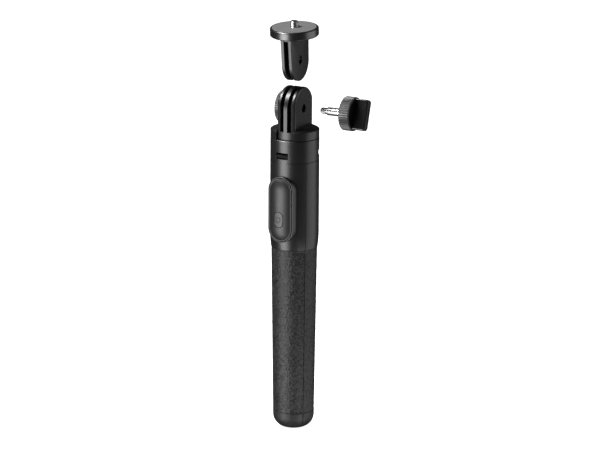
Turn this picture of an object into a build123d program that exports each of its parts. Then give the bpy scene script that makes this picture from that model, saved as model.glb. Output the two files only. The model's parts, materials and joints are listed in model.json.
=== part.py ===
from build123d import *
import os
from math import cos, radians, sin, sqrt

# Selfie stick whose handle opens into a tripod. Millimetres, +Z up along the pole.
# The origin is on the pole's axis at the foot of the closed handle.
# The fork's pin runs along X. The adapter and the thumb screw are drawn lifted off.

os.makedirs("parts", exist_ok=True)

# Driving sizes: the pole's outer tube, the handle round it, and the textured grip's height
outer_tube_radius = 11.0
handle_radius = outer_tube_radius + 8.05
grip_top_z = 146.5

# Remote's cradle, as seen from the front: it sets the height of the smooth housing
cradle_half_width = 11.3
cradle_half_height = 26.25
remote_z = grip_top_z + cradle_half_height + 6.45

# Handle
housing_end_radius = handle_radius - 0.85
grip_top_radius = handle_radius - 1.05
grip_foot_radius = handle_radius - 3.0
housing_top_z = remote_z + cradle_half_height + 10.4
housing_taper_height = 12.0
foot_height = 14.0
foot_corner_radius = 10.5
foot_inner_radius = 2.2
leg_inner_radius = outer_tube_radius + 1.4
frame_wall = 1.8
shell_wall = 2.2
end_wall = 2.0
seam_gap = 0.4
joint_gap = 0.15
leg_names = ("front", "left", "right")
leg_angles = (-95.5, 144.5, 24.5)
half_sector = 60.0

# Leg hinge and collar
collar_bottom_z = housing_top_z + 0.3
collar_top_z = collar_bottom_z + 17.35
collar_radius = handle_radius - 0.05
collar_chamfer = 0.4
window_half_width = 5.2
window_top_z = collar_bottom_z + 7.85
tab_top_z = collar_bottom_z + 2.65
side_clearance = 0.28
hinge_radius = outer_tube_radius + 4.6
hinge_z = collar_bottom_z + 4.75
hinge_pin_radius = 1.2
hinge_pin_length = 2 * (window_half_width + 2.3)
knuckle_radius = hinge_pin_radius + 1.1
running_clearance = 0.05
arm_inner = hinge_radius - 2.6
arm_outer = hinge_radius + 0.3
arm_bottom_z = remote_z + cradle_half_height + 1.05
top_slope = 0.41

# Leg screws
screw_radius = 1.1
screw_head_radius = 1.9
screw_head_depth = 1.0
screw_bite = 1.3
screw_end_room = 0.2
boss_wall = 0.7
screw_heights = (foot_height + 16, grip_top_z - 36.5, grip_top_z + 3.5)

# Telescopic pole
tube_count = 7
tube_pitch = 1.0
tube_wall = 0.5
tube_bottom_z = 38.0
tube_top_z = collar_top_z - 0.5
tube_step_z = 0.2
mouth_height = 6.0
bush_offset = 2.0
bush_height = 12.0
plug_height = 2.0
plug_spigot = 0.8
last_radius = outer_tube_radius - tube_pitch * (tube_count - 1)
last_top_z = tube_top_z + tube_step_z * (tube_count - 1)

# Head
finger_half = 1.5
finger_gap = 3.2
side_finger = 2.9
head_bottom_z = collar_top_z + 0.3
head_radius = handle_radius - 0.1
head_edge_z = head_bottom_z + 6.2
head_edge_bevel = 0.5
shoulder_radius = head_radius - 4.6
shoulder_z = head_edge_z + 2.4
fork_radius = head_radius - 2.15
fork_half_width = finger_half + finger_gap + side_finger
fork_edge_radius = 1.5
gap_floor_z = head_bottom_z + 6.0
pin_z = gap_floor_z + fork_radius - 0.1
pin_hole_radius = 3.3
recess_radius = outer_tube_radius + 1.0
recess_top_z = head_bottom_z + 1.5
post_radius = last_radius - 0.95
post_top_z = head_bottom_z + 5.0
post_root = 16.0
swivel_flange_height = 0.8
swivel_end_room = 0.2
groove_radius = post_radius - 0.85
groove_low_z = head_bottom_z + 2.5
groove_high_z = head_bottom_z + 4.0
swivel_pin_radius = 0.65
swivel_pin_length = 24.0

# Nut on the fork
nut_radius = fork_radius - 4.3
nut_thickness = 4.4
nut_chamfer = 0.6
insert_flats = 10.0
insert_depth = 3.6
thread_clearance = 0.08

# Thumb screw, drawn pulled out of the fork along +X
screw_travel = 34.3
face_gap = 0.1
screw_tip_x = screw_travel + face_gap - fork_half_width - nut_thickness
tip_radius = 2.5
tip_length = 4.8
neck_radius = 1.9
neck_length = 1.0
shaft_radius = 3.2
washer_x = screw_travel + face_gap + fork_half_width
washer_thickness = 0.9
washer_radius = 5.6
wheel_x = washer_x + washer_thickness + face_gap
wheel_thickness = 8.7
wheel_radius = fork_radius - 3.55
wheel_chamfer = 0.6
rim_width = 1.9
hub_recess = 0.5
wing_reach = 11.4
wing_root = 1.0
wing_length = 2 * (wheel_radius - 1.25)
wing_thickness = 6.2
wing_corner = 2.4
wing_tilt = 18.0

# Camera adapter, drawn lifted off the fork along +Z
adapter_travel = 37.6
adapter_z = pin_z + adapter_travel
adapter_tilt = 4.5
adapter_finger_inner = finger_half + 0.22
adapter_finger_outer = finger_half + finger_gap - 0.2
adapter_half_depth = fork_radius - 1.8
adapter_tip_drop = 1.2
adapter_bush_radius = 3.75
disc_radius = handle_radius - 0.15
disc_rise = fork_radius + 2.8
disc_thickness = 6.5
disc_floor = 1.0
disc_chamfer = 0.7
plate_thickness = 1.6
pad_radius = disc_radius - 1.6
pad_depth = 0.8
pad_proud = 0.25
stud_radius = 3.175
stud_length = 4.75
stud_chamfer = 0.5
shank_radius = 2.9
stud_flange_radius = 6.0
stud_flange_height = 1.4

# Depths of the cradle and the remote control, measured out from the axis
cradle_wall = 0.9
cradle_back = handle_radius - 4.45
cradle_floor = 1.3
cradle_front = handle_radius + 1.65
remote_half_width = cradle_half_width - 1.4
remote_gap = 0.2
remote_back_wall = 1.2
remote_wall = 1.2
remote_split = handle_radius + 1.95
seal_inset = 0.6
seal_thickness = 0.3
top_inset = 0.8
top_wall = 1.4
dome_rise = 2.56
dome_top = remote_split + 2.8
dome_half_width = remote_half_width - top_inset
dome_radius = (dome_half_width**2 + dome_rise**2) / (2 * dome_rise)
button_z = remote_z - 7.3
button_half_width = 4.05
button_half_height = 6.1
button_corner = 3.4
button_gap = 0.2
button_back = remote_split - 0.1
button_flange = 0.5
button_rise = 0.2
led_z = remote_z + 4.8
led_radius = 0.6
led_back = remote_split + 0.6
led_inset = 0.05
battery_z = remote_z + 8.3
battery_radius = 8.0
battery_thickness = 3.2
door_radius = battery_radius + 0.3
door_clearance = 0.08
coin_slot_width = 1.6
board_half_width = 7.0
board_low_z = remote_z - 19.2
board_high_z = remote_z - 2.7
board_thickness = 0.8
switch_half = 2.5
switch_height = 1.4

half_turn = 180.0


def write(part, name):
    part.label = name
    export_step(part, f"parts/{name}.step")


def direction(angle):
    return Vector(cos(radians(angle)), sin(radians(angle)), 0)


def side_plane(angle):
    """Vertical plane through the axis: x runs outwards at this angle and y runs up."""
    outward = direction(angle)
    return Plane(origin=(0, 0, 0), x_dir=outward, z_dir=outward.cross(Vector(0, 0, 1)))


def facing_plane(angle, distance, height):
    """Plane that faces outwards at this angle, this far from the axis, with y up."""
    outward = direction(angle)
    origin = outward * distance + Vector(0, 0, height)
    return Plane(origin=origin, x_dir=Vector(0, 0, 1).cross(outward), z_dir=outward)


def across_x(start, height=pin_z):
    """Plane that faces along +X from this place on the fork's pin, or at another height."""
    return Plane(origin=(start, 0, height), x_dir=(0, 1, 0), z_dir=(1, 0, 0))


def grip_radius(height):
    slope = (grip_top_radius - grip_foot_radius) / grip_top_z
    return grip_foot_radius + slope * height


def keep_sector(angle, inset, mode=Mode.INTERSECT):
    """Use one leg's third of a turn, its sides moved in, on the active part."""
    reach = 4 * handle_radius
    apex = inset / sin(radians(half_sector))
    side = (apex + reach * cos(radians(half_sector)), reach * sin(radians(half_sector)))
    plane = Plane(origin=(0, 0, 0), x_dir=direction(angle), z_dir=(0, 0, 1))
    with BuildSketch(plane, mode=Mode.PRIVATE) as sector:
        with BuildLine():
            Polyline(
                (apex, 0),
                (side[0], -side[1]),
                (apex + 2 * reach, -side[1]),
                (apex + 2 * reach, side[1]),
                side,
                close=True,
            )
        make_face()
    extrude(sector.sketch, amount=collar_top_z, mode=mode)


def ring(inner, outer, low, high, mode=Mode.ADD):
    """Put a plain ring round the pole's axis on the active part, or cut it."""
    between_legs = direction(leg_angles[2] + half_sector)
    level = Plane(origin=(0, 0, low), x_dir=between_legs, z_dir=(0, 0, 1))
    with BuildSketch(level, mode=Mode.PRIVATE) as section:
        Circle(outer)
        if inner > 0:
            Circle(inner, mode=Mode.SUBTRACT)
    extrude(section.sketch, amount=high - low, mode=mode)


def rod(plane, radius, length, mode=Mode.ADD):
    """Put a round rod on the active part, from a plane and along its normal."""
    with BuildSketch(plane, mode=Mode.PRIVATE) as section:
        Circle(radius)
    extrude(section.sketch, amount=length, mode=mode)


def pill(distance, depth, half_width, mode=Mode.ADD):
    """Put an upright pill on the front leg, its margin kept the same all round."""
    margin = cradle_half_width - half_width
    plane = facing_plane(leg_angles[0], distance, remote_z)
    with BuildSketch(plane, mode=Mode.PRIVATE) as outline:
        SlotOverall(2 * (cradle_half_height - margin), 2 * half_width, rotation=90)
    extrude(outline.sketch, amount=depth, mode=mode)


def dome(shrink, mode=Mode.INTERSECT):
    """Keep what lies under the remote's crowned face, moved in by a distance."""
    outward = direction(leg_angles[0])
    centre = outward * (dome_top - dome_radius) + Vector(0, 0, remote_z)
    radius = dome_radius - shrink
    straight = cradle_half_height - cradle_half_width
    plane = Plane(origin=centre, x_dir=outward, z_dir=outward.cross(Vector(0, 0, 1)))
    with BuildSketch(plane, mode=Mode.PRIVATE) as half:
        with BuildLine():
            RadiusArc((0, straight + radius), (radius, straight), radius)
            Line((radius, straight), (radius, -straight))
            RadiusArc((radius, -straight), (0, -straight - radius), radius)
            Line((0, -straight - radius), (0, straight + radius))
        make_face()
    revolve(half.sketch, axis=Axis(centre, (0, 0, 1)), mode=mode)


def button_outline(distance, depth, grow, mode=Mode.ADD):
    """Put the shutter button's rounded outline, grown by a distance."""
    plane = facing_plane(leg_angles[0], distance, button_z)
    with BuildSketch(plane, mode=Mode.PRIVATE) as outline:
        RectangleRounded(
            2 * (button_half_width + grow), 2 * (button_half_height + grow), button_corner + grow
        )
    extrude(outline.sketch, amount=depth, mode=mode)


def screw_holes(angle, heights, distance, radius, depth):
    for height in heights:
        rod(facing_plane(angle, distance, height), radius, depth, mode=Mode.SUBTRACT)


# Legs: each is a frame with its hinge knuckle, a smooth upper housing, a textured grip,
# a rounded foot and three screws, all cut to one third of the handle.
frame_outer = leg_inner_radius + frame_wall
housing_low = grip_top_z + joint_gap
shell_inner = handle_radius - shell_wall
taper_top_z = housing_low + housing_taper_height + end_wall

for name, angle in zip(leg_names, leg_angles):
    knuckle_half = window_half_width - side_clearance
    pin_plane = facing_plane(angle, hinge_radius, hinge_z)
    across = Plane(
        origin=pin_plane.origin - pin_plane.x_dir * knuckle_half,
        x_dir=direction(angle),
        z_dir=pin_plane.x_dir,
    )
    with BuildPart() as leg_frame:
        ring(leg_inner_radius, frame_outer, foot_height, housing_top_z - end_wall)
        keep_sector(angle, seam_gap / 2)
        with BuildSketch(facing_plane(angle, arm_inner, arm_bottom_z)) as arm:
            Rectangle(
                2 * knuckle_half, hinge_z - arm_bottom_z, align=(Align.CENTER, Align.MIN)
            )
        extrude(amount=arm_outer - arm_inner)
        rod(across, knuckle_radius, 2 * knuckle_half)
        rod(across, hinge_pin_radius + running_clearance, 2 * knuckle_half, Mode.SUBTRACT)
        screw_holes(angle, screw_heights, leg_inner_radius - 1, screw_radius, 4)
        screw_holes(
            angle, screw_heights, leg_inner_radius - 1, screw_head_radius, screw_head_depth + 1
        )
    write(leg_frame.part, f"leg_{name}_frame")

    with BuildPart() as leg_housing:
        with BuildSketch(side_plane(angle + half_turn)) as profile:
            with BuildLine():
                Line((frame_outer, housing_low), (housing_end_radius, housing_low))
                TangentArc(
                    (handle_radius, housing_low + housing_taper_height),
                    (housing_end_radius, housing_low),
                    tangent=(0, -1),
                )
                Line(
                    (handle_radius, housing_low + housing_taper_height),
                    (handle_radius, housing_top_z),
                )
                Polyline(
                    (handle_radius, housing_top_z),
                    (shell_inner, housing_top_z - top_slope * shell_wall),
                    (frame_outer, housing_top_z - top_slope * shell_wall),
                    (frame_outer, housing_low),
                )
            make_face()
        revolve(axis=Axis.Z)
        keep_sector(angle, seam_gap / 2)
        with BuildPart(mode=Mode.PRIVATE) as hollow:
            ring(leg_inner_radius, shell_inner - 1, housing_low + end_wall, taper_top_z)
            ring(leg_inner_radius, shell_inner, taper_top_z, housing_top_z + 1)
            keep_sector(angle, seam_gap / 2 + shell_wall)
        add(hollow.part, mode=Mode.SUBTRACT)
        with BuildPart(mode=Mode.PRIVATE) as tab:
            with BuildSketch(facing_plane(angle, shell_inner + joint_gap, 0)) as outline:
                with Locations((0, housing_top_z - end_wall)):
                    Rectangle(
                        2 * knuckle_half,
                        tab_top_z - housing_top_z + end_wall,
                        align=(Align.CENTER, Align.MIN),
                    )
            extrude(amount=handle_radius)
            ring(0, collar_radius, housing_low, collar_top_z, Mode.INTERSECT)
        add(tab.part)
        boss_plane = facing_plane(angle, frame_outer, screw_heights[2])
        rod(boss_plane, screw_head_radius + boss_wall, shell_wall + 1)
        screw_holes(angle, screw_heights[2:], leg_inner_radius, screw_radius, frame_wall + screw_bite)
        if name == "front":
            pill(cradle_back, handle_radius, cradle_half_width, mode=Mode.SUBTRACT)
    write(leg_housing.part, f"leg_{name}_housing")

    with BuildPart() as leg_grip:
        with BuildSketch(side_plane(angle + half_turn)) as profile:
            with BuildLine():
                Polyline(
                    (frame_outer, foot_height + joint_gap),
                    (grip_radius(foot_height), foot_height + joint_gap),
                    (grip_top_radius, grip_top_z),
                    (frame_outer, grip_top_z),
                    close=True,
                )
            make_face()
        revolve(axis=Axis.Z)
        keep_sector(angle, seam_gap / 2)
        screw_holes(angle, screw_heights[:2], leg_inner_radius, screw_radius, frame_wall + screw_bite)
    write(leg_grip.part, f"leg_{name}_grip")

    with BuildPart() as leg_foot:
        edge_radius = grip_radius(foot_corner_radius)
        flat_radius = edge_radius - foot_corner_radius
        bend = foot_corner_radius * (1 - sqrt(0.5))
        with BuildSketch(side_plane(angle + half_turn)) as profile:
            with BuildLine():
                Line((foot_inner_radius, 0), (flat_radius, 0))
                ThreePointArc(
                    (flat_radius, 0), (edge_radius - bend, bend), (edge_radius, foot_corner_radius)
                )
                Polyline(
                    (edge_radius, foot_corner_radius),
                    (grip_radius(foot_height), foot_height),
                    (foot_inner_radius, foot_height),
                    (foot_inner_radius, 0),
                )
            make_face()
        revolve(axis=Axis.Z)
        keep_sector(angle, seam_gap / 2)
    write(leg_foot.part, f"leg_{name}_foot")

    with BuildPart() as leg_screws:
        for height in screw_heights:
            rod(
                facing_plane(angle, leg_inner_radius, height),
                screw_radius,
                frame_wall + screw_bite - screw_end_room,
            )
            rod(
                facing_plane(angle, leg_inner_radius, height), screw_head_radius, screw_head_depth
            )
    write(leg_screws.part, f"leg_{name}_screws")

# Collar: the ring that carries the outer tube and the three hinge pins.
with BuildPart() as collar:
    ring(outer_tube_radius, collar_radius, collar_bottom_z, collar_top_z)
    top_edges = collar.edges().group_by(Axis.Z)[-1].sort_by(SortBy.RADIUS)
    chamfer(top_edges[-1], collar_chamfer)
    for angle in leg_angles:
        with BuildSketch(facing_plane(angle, leg_inner_radius, collar_bottom_z)) as window:
            Rectangle(
                2 * window_half_width,
                2 * (window_top_z - collar_bottom_z),
            )
        extrude(amount=handle_radius, mode=Mode.SUBTRACT)
        pin_plane = facing_plane(angle, hinge_radius, hinge_z)
        start = pin_plane.origin - pin_plane.x_dir * (hinge_pin_length / 2)
        bore = Plane(origin=start, x_dir=direction(angle), z_dir=pin_plane.x_dir)
        rod(bore, hinge_pin_radius, hinge_pin_length, mode=Mode.SUBTRACT)
write(collar.part, "collar")

with BuildPart() as hinge_pins:
    for angle in leg_angles:
        pin_plane = facing_plane(angle, hinge_radius, hinge_z)
        start = pin_plane.origin - pin_plane.x_dir * (hinge_pin_length / 2)
        rod(
            Plane(origin=start, x_dir=direction(angle), z_dir=pin_plane.x_dir),
            hinge_pin_radius,
            hinge_pin_length,
        )
write(hinge_pins.part, "hinge_pins")

# Pole: each tube's mouth is drawn in to guide the next, whose bush rubs inside it.
for index in range(tube_count):
    radius = outer_tube_radius - tube_pitch * index
    low = tube_bottom_z + tube_pitch * index
    high = tube_top_z + tube_step_z * index
    with BuildPart() as tube:
        ring(radius - tube_wall, radius, low, high)
        if index < tube_count - 1:
            guide = radius - tube_pitch + running_clearance
            ring(guide, radius, high - mouth_height, high)
    write(tube.part, "outer_tube" if index == 0 else f"section_{index + 1}")
    if index > 0:
        with BuildPart() as bush:
            bore_radius = radius + tube_pitch - tube_wall - running_clearance
            ring(radius, bore_radius, low + bush_offset, low + bush_offset + bush_height)
        write(bush.part, f"bush_{index + 1}")

with BuildPart() as tube_plug:
    ring(0, outer_tube_radius, tube_bottom_z - plug_height, tube_bottom_z)
    ring(0, outer_tube_radius - tube_wall, tube_bottom_z, tube_bottom_z + plug_spigot)
write(tube_plug.part, "tube_plug")

with BuildPart() as swivel_post:
    ring(0, last_radius - tube_wall, last_top_z - post_root, last_top_z)
    ring(0, last_radius, last_top_z, last_top_z + swivel_flange_height)
    ring(0, post_radius, last_top_z + swivel_flange_height, post_top_z)
    ring(groove_radius, post_radius + 1, groove_low_z, groove_high_z, Mode.SUBTRACT)
write(swivel_post.part, "swivel_post")

# Head: a shoulder and a three-finger fork with a rounded front, back and top.
swivel_pin_x = groove_radius + swivel_pin_radius + running_clearance
swivel_pin_plane = Plane(
    origin=(swivel_pin_x, -swivel_pin_length / 2, (groove_low_z + groove_high_z) / 2),
    x_dir=(1, 0, 0),
    z_dir=(0, 1, 0),
)
with BuildPart() as fork:
    with BuildSketch(Plane.YZ.offset(-fork_half_width)) as arch:
        with Locations((0, pin_z)):
            Circle(fork_radius)
        with Locations((0, head_bottom_z)):
            Rectangle(
                2 * fork_radius, pin_z - head_bottom_z, align=(Align.CENTER, Align.MIN)
            )
    extrude(amount=2 * fork_half_width)
    ring(0, fork_radius, head_bottom_z, pin_z + 2 * fork_radius, Mode.INTERSECT)
    sides = fork.faces().filter_by(Axis.X)
    rims = ShapeList(
        edge
        for face in sides
        for edge in face.edges()
        if edge.center().Z > shoulder_z - 5 and edge.bounding_box().max.Z > shoulder_z
    )
    fillet(rims, fork_edge_radius)

with BuildPart() as head_body:
    with BuildSketch(Plane.XZ) as profile:
        with BuildLine():
            Polyline(
                (0, head_bottom_z),
                (head_radius, head_bottom_z),
                (head_radius, head_edge_z),
                (head_radius - head_edge_bevel, head_edge_z + head_edge_bevel),
                (shoulder_radius, shoulder_z),
                (0, shoulder_z),
                close=True,
            )
        make_face()
    revolve(axis=Axis.Z)
    for front in (-1, 1):
        with BuildSketch(Plane.XY.offset(head_bottom_z)) as flat:
            with Locations((0, front * fork_radius)):
                Rectangle(2 * fork_half_width, 2 * fork_radius)
            Circle(fork_radius, mode=Mode.SUBTRACT)
        extrude(amount=shoulder_z, mode=Mode.SUBTRACT)
    add(fork.part)
    for side in (-1, 1):
        with BuildSketch(Plane.XY.offset(gap_floor_z)) as gap:
            with Locations((side * (finger_half + finger_gap / 2), 0)):
                Rectangle(finger_gap, 3 * fork_radius)
        extrude(amount=2 * fork_radius + pin_z, mode=Mode.SUBTRACT)
    rod(across_x(-2 * fork_radius), pin_hole_radius, 4 * fork_radius, mode=Mode.SUBTRACT)
    ring(0, recess_radius, head_bottom_z - 1, recess_top_z, Mode.SUBTRACT)
    ring(0, post_radius + running_clearance, recess_top_z, post_top_z + swivel_end_room, Mode.SUBTRACT)
    rod(swivel_pin_plane, swivel_pin_radius, swivel_pin_length, mode=Mode.SUBTRACT)
write(head_body.part, "head_body")

with BuildPart() as swivel_pin:
    rod(swivel_pin_plane, swivel_pin_radius, swivel_pin_length)
write(swivel_pin.part, "swivel_pin")

nut_plane = across_x(-fork_half_width - nut_thickness)
with BuildPart() as nut_knob:
    rod(nut_plane, nut_radius, nut_thickness)
    chamfer(nut_knob.edges().filter_by(GeomType.CIRCLE), nut_chamfer)
    rod(nut_plane, pin_hole_radius, nut_thickness, mode=Mode.SUBTRACT)
    with BuildSketch(nut_plane) as hexagon:
        RegularPolygon(insert_flats / 2, 6, major_radius=False)
    extrude(amount=insert_depth, mode=Mode.SUBTRACT)
write(nut_knob.part, "nut_knob")

with BuildPart() as insert_nut:
    with BuildSketch(nut_plane) as hexagon:
        RegularPolygon(insert_flats / 2, 6, major_radius=False)
        Circle(tip_radius + thread_clearance, mode=Mode.SUBTRACT)
    extrude(amount=insert_depth)
write(insert_nut.part, "insert_nut")

# Thumb screw and its washer
with BuildPart() as washer:
    with BuildSketch(across_x(washer_x)) as section:
        Circle(washer_radius)
        Circle(shaft_radius + running_clearance, mode=Mode.SUBTRACT)
    extrude(amount=washer_thickness)
write(washer.part, "washer")

neck_x = screw_tip_x + tip_length
shaft_x = neck_x + neck_length
core_radius = wheel_radius - rim_width
with BuildPart() as knob_shaft:
    rod(across_x(screw_tip_x), tip_radius, tip_length)
    fillet(knob_shaft.faces().sort_by(Axis.X)[0].edges(), tip_radius * 0.6)
    rod(across_x(neck_x), neck_radius, neck_length)
    rod(across_x(shaft_x), shaft_radius, wheel_x + wheel_thickness / 2 - shaft_x)
write(knob_shaft.part, "knob_shaft")

with BuildPart() as knob_rim:
    rod(across_x(wheel_x), wheel_radius, wheel_thickness)
    chamfer(knob_rim.edges().filter_by(GeomType.CIRCLE), wheel_chamfer)
    rod(across_x(wheel_x), core_radius, wheel_thickness, mode=Mode.SUBTRACT)
write(knob_rim.part, "knob_rim")

wing_x = wheel_x + wheel_thickness - hub_recess
lean = radians(wing_tilt)
wing_side = Plane(
    origin=(wing_x, 0, pin_z), x_dir=(1, 0, 0), z_dir=(0, -cos(lean), sin(lean))
)
with BuildPart() as knob_wing:
    rod(across_x(wheel_x), core_radius, wheel_thickness - hub_recess)
    rod(across_x(wheel_x), shaft_radius, wheel_thickness / 2, mode=Mode.SUBTRACT)
    with BuildSketch(wing_side.offset(-wing_thickness / 2)) as blade:
        with BuildLine():
            FilletPolyline(
                (-wing_root, wing_length / 2),
                (wing_reach, wing_length / 2),
                (wing_reach, -wing_length / 2),
                (-wing_root, -wing_length / 2),
                radius=wing_corner,
            )
            Line((-wing_root, -wing_length / 2), (-wing_root, wing_length / 2))
        make_face()
    extrude(amount=wing_thickness)
    with BuildSketch(across_x(wheel_x)) as rim_space:
        Circle(2 * wheel_radius)
        Circle(core_radius, mode=Mode.SUBTRACT)
    extrude(amount=wheel_thickness, mode=Mode.SUBTRACT)
write(knob_wing.part, "knob_wing")

# Camera adapter, built upright and then tipped a little about its pin line
disc_low = adapter_z + disc_rise
disc_high = disc_low + disc_thickness
flange_low = disc_low + disc_floor
adapter_middle = (adapter_finger_inner + adapter_finger_outer) / 2
adapter_finger = adapter_finger_outer - adapter_finger_inner
adapter_line = Axis((0, 0, adapter_z), (1, 0, 0))

with BuildPart() as adapter_bushes:
    for side in (-1, 1):
        start = side * adapter_middle - adapter_finger / 2
        with BuildSketch(across_x(start, adapter_z)) as section:
            Circle(adapter_bush_radius)
            Circle(pin_hole_radius, mode=Mode.SUBTRACT)
        extrude(amount=adapter_finger)
write(adapter_bushes.part, "adapter_bushes")

with BuildPart() as adapter_fork:
    for side in (-1, 1):
        start = side * adapter_middle - adapter_finger / 2
        with BuildSketch(Plane.YZ.offset(start)) as cheek:
            with Locations((0, adapter_z - adapter_tip_drop)):
                Circle(adapter_half_depth)
                Rectangle(
                    2 * adapter_half_depth,
                    disc_rise + adapter_tip_drop,
                    align=(Align.CENTER, Align.MIN),
                )
            with Locations((0, adapter_z)):
                Circle(adapter_bush_radius + running_clearance, mode=Mode.SUBTRACT)
        extrude(amount=adapter_finger)
    with BuildSketch(Plane.XY.offset(disc_low - plate_thickness)) as plate:
        Rectangle(2 * adapter_finger_outer, 2 * adapter_half_depth)
    extrude(amount=plate_thickness)
write(adapter_fork.part.rotate(adapter_line, adapter_tilt), "adapter_fork")

with BuildPart() as adapter_disc:
    ring(0, disc_radius, disc_low, disc_high)
    chamfer(adapter_disc.edges().filter_by(GeomType.CIRCLE), disc_chamfer)
    ring(0, pad_radius, disc_high - pad_depth, disc_high + 1, Mode.SUBTRACT)
    ring(0, stud_flange_radius, flange_low, flange_low + stud_flange_height, Mode.SUBTRACT)
    ring(0, shank_radius, flange_low, disc_high, Mode.SUBTRACT)
write(adapter_disc.part.rotate(adapter_line, adapter_tilt), "adapter_disc")

pad_top = disc_high + pad_proud
with BuildPart() as adapter_pad:
    ring(shank_radius, pad_radius, disc_high - pad_depth, pad_top)
write(adapter_pad.part.rotate(adapter_line, adapter_tilt), "adapter_pad")

with BuildPart() as adapter_stud:
    ring(0, stud_flange_radius, flange_low, flange_low + stud_flange_height)
    ring(0, shank_radius, flange_low, pad_top)
    ring(0, stud_radius, pad_top, pad_top + stud_length)
    chamfer(adapter_stud.faces().sort_by(Axis.Z)[-1].edges(), stud_chamfer)
write(adapter_stud.part.rotate(adapter_line, adapter_tilt), "adapter_stud")

# Remote control and its cradle
remote_back = cradle_back + cradle_floor + remote_gap
base_inner = remote_half_width - remote_wall
battery_back = remote_back + remote_back_wall + remote_gap

with BuildPart() as remote_cradle:
    pill(cradle_back, cradle_front - cradle_back, cradle_half_width)
    pill(cradle_back + cradle_floor, cradle_front, cradle_half_width - cradle_wall, Mode.SUBTRACT)
write(remote_cradle.part, "remote_cradle")

with BuildPart() as remote_base:
    pill(remote_back, remote_split - remote_back, remote_half_width)
    pill(remote_back + remote_back_wall, remote_split, base_inner, mode=Mode.SUBTRACT)
    rod(
        facing_plane(leg_angles[0], remote_back - 1, battery_z),
        door_radius + door_clearance,
        remote_back_wall + 1,
        mode=Mode.SUBTRACT,
    )
write(remote_base.part, "remote_base")

with BuildPart() as remote_seal:
    pill(remote_split, seal_thickness, remote_half_width - seal_inset)
    pill(remote_split, seal_thickness, base_inner - seal_inset, mode=Mode.SUBTRACT)
write(remote_seal.part, "remote_seal")

with BuildPart() as remote_top:
    pill(remote_split + seal_thickness, dome_top, remote_half_width - top_inset)
    dome(0)
    with BuildPart(mode=Mode.PRIVATE) as inside:
        pill(remote_split, dome_top, remote_half_width - top_inset - top_wall)
        dome(top_wall)
    add(inside.part, mode=Mode.SUBTRACT)
    button_outline(remote_split, dome_top, button_gap, mode=Mode.SUBTRACT)
    rod(
        facing_plane(leg_angles[0], led_back, led_z), led_radius, dome_top, mode=Mode.SUBTRACT
    )
write(remote_top.part, "remote_top")

with BuildPart() as shutter_button:
    button_outline(button_back, dome_top, 0)
    dome(-button_rise)
    button_outline(button_back, button_flange, 3 * button_gap)
write(shutter_button.part, "shutter_button")

with BuildPart() as remote_led:
    rod(facing_plane(leg_angles[0], led_back, led_z), led_radius, dome_top - led_back - led_inset)
write(remote_led.part, "remote_led")

with BuildPart() as battery:
    rod(facing_plane(leg_angles[0], battery_back, battery_z), battery_radius, battery_thickness)
write(battery.part, "battery")

with BuildPart() as battery_door:
    rod(facing_plane(leg_angles[0], remote_back, battery_z), door_radius, remote_back_wall)
    with BuildSketch(facing_plane(leg_angles[0], remote_back, battery_z)) as coin_slot:
        SlotOverall(door_radius, coin_slot_width)
    extrude(amount=remote_back_wall / 2, mode=Mode.SUBTRACT)
write(battery_door.part, "battery_door")

board_back = remote_back + remote_back_wall
board_middle = (board_low_z + board_high_z) / 2
with BuildPart() as circuit_board:
    with BuildSketch(facing_plane(leg_angles[0], board_back, board_middle)) as board:
        Rectangle(2 * board_half_width, board_high_z - board_low_z)
    extrude(amount=board_thickness)
write(circuit_board.part, "circuit_board")

with BuildPart() as switch:
    with BuildSketch(facing_plane(leg_angles[0], board_back + board_thickness, button_z)) as body:
        Rectangle(2 * switch_half, 2 * switch_half)
    extrude(amount=switch_height)
write(switch.part, "switch")
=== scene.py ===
# Looks of a telescopic selfie stick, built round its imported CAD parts. Metres, +Z up along the pole.
import json
from math import cos, pi, radians, sin

import bmesh
import bpy
import numpy as np
from mathutils import Matrix, Vector


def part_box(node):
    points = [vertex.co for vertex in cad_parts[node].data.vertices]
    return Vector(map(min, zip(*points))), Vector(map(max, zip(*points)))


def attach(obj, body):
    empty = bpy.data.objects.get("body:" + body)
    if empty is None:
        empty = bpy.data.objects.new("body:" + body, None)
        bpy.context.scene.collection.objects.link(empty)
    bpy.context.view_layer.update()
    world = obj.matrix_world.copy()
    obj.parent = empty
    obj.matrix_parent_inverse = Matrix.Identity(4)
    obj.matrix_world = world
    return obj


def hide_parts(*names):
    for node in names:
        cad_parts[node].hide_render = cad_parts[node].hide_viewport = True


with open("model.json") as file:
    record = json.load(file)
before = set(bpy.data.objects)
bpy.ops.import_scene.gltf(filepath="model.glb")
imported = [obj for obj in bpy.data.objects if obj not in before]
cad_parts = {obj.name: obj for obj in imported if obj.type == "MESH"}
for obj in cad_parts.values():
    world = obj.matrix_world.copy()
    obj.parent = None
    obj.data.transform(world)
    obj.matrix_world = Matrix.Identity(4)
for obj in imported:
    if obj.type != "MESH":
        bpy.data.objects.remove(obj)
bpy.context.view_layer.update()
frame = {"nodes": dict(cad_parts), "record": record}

cadNodes = frame["nodes"]
mm = 0.001
axisX, axisY, axisZ = np.eye(3)
mergeDistance = 2e-6  # points closer than this become one
sliverLength = 1e-7  # edges shorter than this are dropped
largestHole = 400  # edges round the largest opening that is filled
legNames = ("front", "left", "right")
legAngles = {"front": -95.5, "left": 144.5, "right": 24.5}  # degrees round the pole


def nodeBox(node):
    # The lowest and the highest corner of a CAD node's box.
    low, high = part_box(node)
    return np.array(low), np.array(high)


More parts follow.
